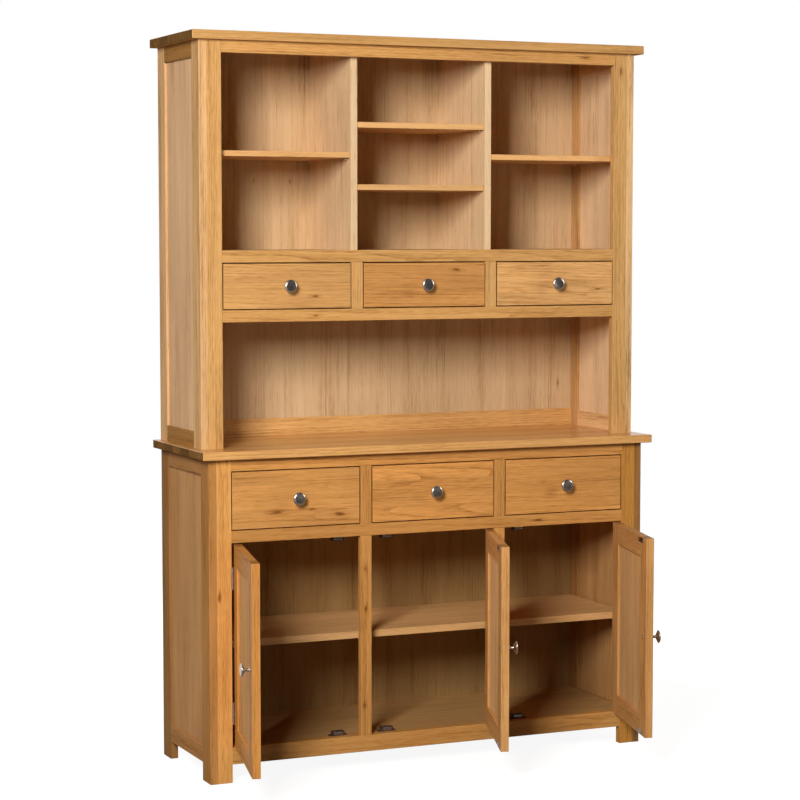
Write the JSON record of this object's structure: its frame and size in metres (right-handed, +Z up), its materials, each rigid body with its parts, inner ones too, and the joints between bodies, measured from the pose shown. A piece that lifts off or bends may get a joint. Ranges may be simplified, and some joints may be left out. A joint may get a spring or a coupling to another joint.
{
  "type": "display cabinet",
  "caption": "Tall oak dresser: a cupboard base with drawers and framed doors carries an open shelved top with small drawers and a serving space over the worktop.",
  "frame": {"origin": "on the floor, in the middle of the four legs of the base", "axes": "+X to the right seen from the front, +Y to the back, +Z up"},
  "size_m": [1.263, 0.7172, 1.846],
  "materials": {
    "oak": "satin lacquer over honey-coloured oak",
    "panel_oak": "satin lacquer over oak veneer",
    "drawer_oak": "planed and sealed, paler than the front",
    "beech": "plain turned pins",
    "nickel": "satin nickel",
    "steel": "nickel-plated steel",
    "plated_steel": "zinc-plated steel",
    "brown_plastic": "matt brown moulding"
  },
  "bodies": {
    "carcass": {"back_rails": "oak", "base_back_panel": "panel_oak", "base_corner_fillers": "oak", "base_door_posts": "oak", "base_drawer_deck": "oak", "base_drawer_dividers": "oak", "base_drawer_runners": "drawer_oak", "base_floor_board": "oak", "base_front_rails": "oak", "base_front_stiles": "oak", "base_shelf": "oak", "base_side_frames": "oak", "base_side_panels": "panel_oak", "base_worktop": "oak", "door_catches": "brown_plastic", "hinge_leaves": "steel", "hutch_back_panel": "panel_oak", "hutch_decks": "oak", "hutch_drawer_dividers": "oak", "hutch_drawer_guides": "drawer_oak", "hutch_front_rails": "oak", "hutch_front_stiles": "oak", "hutch_joining_plates": "plated_steel", "hutch_partitions": "oak", "hutch_shelves": "oak", "hutch_side_frames": "oak", "hutch_side_panels": "panel_oak", "hutch_top_board": "oak", "shelf_pins": "beech"},
    "base_drawer_left": {"base_drawer_left_box": "drawer_oak", "base_drawer_left_front": "oak", "base_drawer_left_knob": "nickel"},
    "base_drawer_middle": {"base_drawer_middle_box": "drawer_oak", "base_drawer_middle_front": "oak", "base_drawer_middle_knob": "nickel"},
    "base_drawer_right": {"base_drawer_right_box": "drawer_oak", "base_drawer_right_front": "oak", "base_drawer_right_knob": "nickel"},
    "door_left": {"door_left_fittings": "steel", "door_left_frame": "oak", "door_left_knob": "nickel", "door_left_panel": "panel_oak"},
    "door_middle": {"door_middle_fittings": "steel", "door_middle_frame": "oak", "door_middle_knob": "nickel", "door_middle_panel": "panel_oak"},
    "door_right": {"door_right_fittings": "steel", "door_right_frame": "oak", "door_right_knob": "nickel", "door_right_panel": "panel_oak"},
    "hutch_drawer_left": {"hutch_drawer_left_box": "drawer_oak", "hutch_drawer_left_front": "oak", "hutch_drawer_left_knob": "nickel"},
    "hutch_drawer_middle": {"hutch_drawer_middle_box": "drawer_oak", "hutch_drawer_middle_front": "oak", "hutch_drawer_middle_knob": "nickel"},
    "hutch_drawer_right": {"hutch_drawer_right_box": "drawer_oak", "hutch_drawer_right_front": "oak", "hutch_drawer_right_knob": "nickel"}
  },
  "joints": [
    {"name": "hutch_drawer_left_slide", "type": "slide", "parent": "carcass", "child": "hutch_drawer_left", "axis": [0, -1, 0], "range_m": [0, 0.19]},
    {"name": "hutch_drawer_middle_slide", "type": "slide", "parent": "carcass", "child": "hutch_drawer_middle", "axis": [0, -1, 0], "range_m": [0, 0.19]},
    {"name": "hutch_drawer_right_slide", "type": "slide", "parent": "carcass", "child": "hutch_drawer_right", "axis": [0, -1, 0], "range_m": [0, 0.19]},
    {"name": "base_drawer_left_slide", "type": "slide", "parent": "carcass", "child": "base_drawer_left", "axis": [0, -1, 0], "range_m": [0, 0.23]},
    {"name": "base_drawer_middle_slide", "type": "slide", "parent": "carcass", "child": "base_drawer_middle", "axis": [0, -1, 0], "range_m": [0, 0.23]},
    {"name": "base_drawer_right_slide", "type": "slide", "parent": "carcass", "child": "base_drawer_right", "axis": [0, -1, 0], "range_m": [0, 0.23]},
    {"name": "door_left_hinge", "type": "hinge", "parent": "carcass", "child": "door_left", "pos_m": [-0.545, -0.1886, 0.3425], "axis": [0, 0, -1], "range_deg": [-103, 7]},
    {"name": "door_middle_hinge", "type": "hinge", "parent": "carcass", "child": "door_middle", "pos_m": [0.171, -0.1886, 0.3425], "axis": [0, 0, 1], "range_deg": [-70.5, 39.5]},
    {"name": "door_right_hinge", "type": "hinge", "parent": "carcass", "child": "door_right", "pos_m": [0.545, -0.1886, 0.3425], "axis": [0, 0, 1], "range_deg": [-75, 35]}
  ]
}
